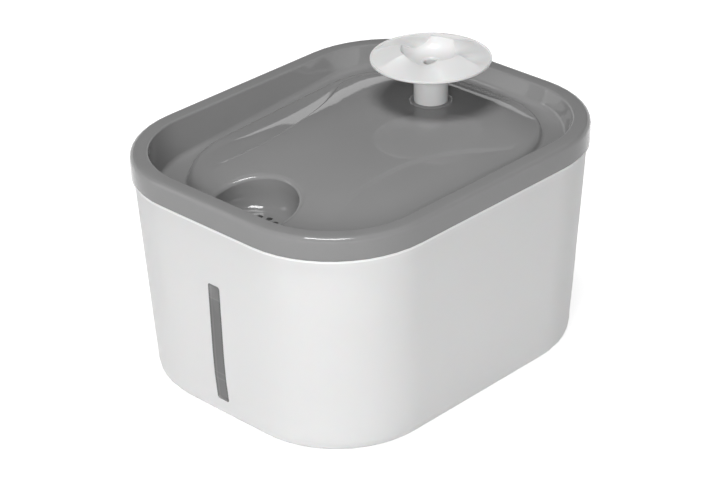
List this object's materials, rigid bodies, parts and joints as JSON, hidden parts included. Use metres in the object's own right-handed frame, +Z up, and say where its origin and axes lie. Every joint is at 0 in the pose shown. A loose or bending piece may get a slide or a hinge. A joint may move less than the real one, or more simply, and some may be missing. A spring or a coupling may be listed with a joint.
{
  "type": "pet water fountain with flower spout",
  "caption": "Circulating pet water fountain: grey sloping drinking tray with a drain bowl on a white drafted tank, with a flower spout and a submersible pump.",
  "frame": {"origin": "centre of the bounding box on the table plane, under the foot pads", "axes": "+Z up, -Y towards the front wall with the level window, +Y towards the flower and the cord grommet"},
  "size_m": [0.18, 0.2226, 0.157],
  "materials": {
    "tank_white": "satin",
    "tray_grey": "gloss",
    "flower_white": "satin",
    "window_smoke": "gloss, clear smoked strip",
    "rubber_grey": "matte",
    "rubber_black": "matte",
    "smoke_plastic": "gloss",
    "foam_dark": "open-cell foam",
    "fleece_white": "fleece",
    "pump_dark": "matte",
    "steel_laminate": "laminated",
    "bobbin_white": "matte",
    "copper_wire": "enamelled winding",
    "ferrite": "sintered",
    "shaft_ceramic": "ground"
  },
  "bodies": {
    "fountain": {"tank": "tank_white", "level_window": "window_smoke", "foot_pads": "rubber_grey", "top_tray": "tray_grey", "flower_dish": "flower_white", "flower_stem": "flower_white", "riser_tube": "smoke_plastic", "riser_oring": "rubber_black", "filter_housing": "smoke_plastic", "filter_foam": "foam_dark", "filter_cartridge": "fleece_white", "filter_lid": "smoke_plastic", "pump_housing": "pump_dark", "stator_core": "steel_laminate", "stator_bobbin": "bobbin_white", "stator_coil": "copper_wire", "rear_cap": "pump_dark", "volute_cover": "pump_dark", "impeller_shaft": "shaft_ceramic", "front_bush": "rubber_black", "rear_bush": "rubber_black", "strainer_cage": "pump_dark", "pump_foam": "foam_dark", "suction_cups": "rubber_black", "cable_gland": "rubber_black", "cable_grommet": "rubber_grey"},
    "rotor": {"impeller": "bobbin_white", "rotor_magnet": "ferrite"},
    "regulator": {"flow_slider": "bobbin_white"}
  },
  "joints": [
    {"name": "impeller_spin", "type": "hinge", "parent": "fountain", "child": "rotor", "pos_m": [0, 0.0425, 0.024], "axis": [0, 1, 0], "continuous": true},
    {"name": "flow_slide", "type": "slide", "parent": "fountain", "child": "regulator", "axis": [0, 0, 1], "range_m": [-0.005, 0.005]}
  ]
}
